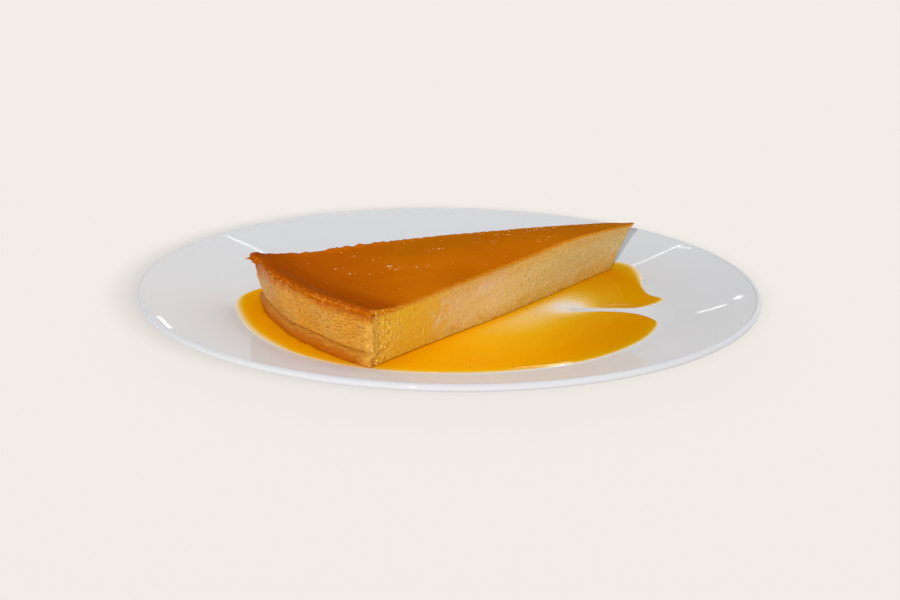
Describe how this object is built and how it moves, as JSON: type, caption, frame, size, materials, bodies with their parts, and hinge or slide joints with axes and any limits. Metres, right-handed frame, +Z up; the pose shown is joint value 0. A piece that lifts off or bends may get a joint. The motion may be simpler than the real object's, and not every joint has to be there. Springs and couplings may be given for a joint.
{
  "type": "creme caramel flan",
  "caption": "Wedge of baked custard with a dished caramel top, lying in a pool of loose caramel on a round shallow white plate.",
  "frame": {"origin": "on the plate's axis, in the plane that its foot ring stands on", "axes": "+Z up along the plate's axis; the slice's tip points towards +X and +Y, and its long cut face looks towards -Y and +X"},
  "size_m": [0.22, 0.22, 0.0249],
  "materials": {
    "plate_glaze": "glossy white glaze, faintly cool",
    "custard": "moist baked custard with fine pores; matte_plastic stands in for food",
    "caramel_layer": "wet dark caramel soaked into the custard; gloss_plastic stands in for food",
    "caramel_sauce": "clear amber syrup; gloss_plastic stands in for food"
  },
  "bodies": {
    "root": {"plate": "plate_glaze", "custard": "custard", "caramel_top": "caramel_layer", "caramel_sauce": "caramel_sauce"}
  },
  "joints": []
}
